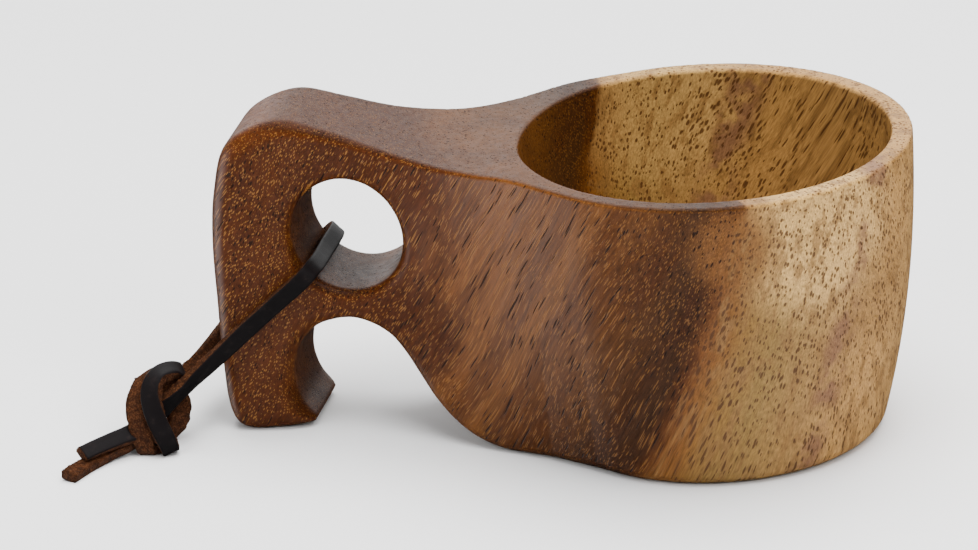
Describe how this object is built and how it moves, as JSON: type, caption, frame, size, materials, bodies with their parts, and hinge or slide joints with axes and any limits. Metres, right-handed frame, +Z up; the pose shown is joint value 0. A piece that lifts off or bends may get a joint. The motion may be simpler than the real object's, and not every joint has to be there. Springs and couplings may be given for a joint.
{
  "type": "kuksa wooden cup",
  "caption": "Carved wooden drinking cup with a round finger hole and a hook in its handle, and a knotted leather lace tied round the handle's outer leg.",
  "frame": {"origin": "centre of the flat base, on the bowl's axis, where the cup rests on a table", "axes": "+Z up along the bowl's axis; the handle points along -X, so +X points from the handle to the far side of the bowl; Y across the handle"},
  "size_m": [0.172, 0.0849, 0.0681],
  "materials": {
    "acacia_wood": "oiled, satin to semi-gloss, brown heartwood with pale sapwood",
    "leather_lace": "smooth black grain side, rough red-brown flesh side and edges"
  },
  "bodies": {
    "cup": {"cup": "acacia_wood"},
    "lace": {"lace_loop": "leather_lace", "lace_knot": "leather_lace", "lace_tail_upper": "leather_lace", "lace_tail_lower": "leather_lace"}
  },
  "joints": [
    {"name": "lace_swing", "type": "hinge", "parent": "cup", "child": "lace", "pos_m": [-0.0737, 0, 0.0436], "axis": [0, 1, 0], "range_deg": [0, 110]}
  ]
}
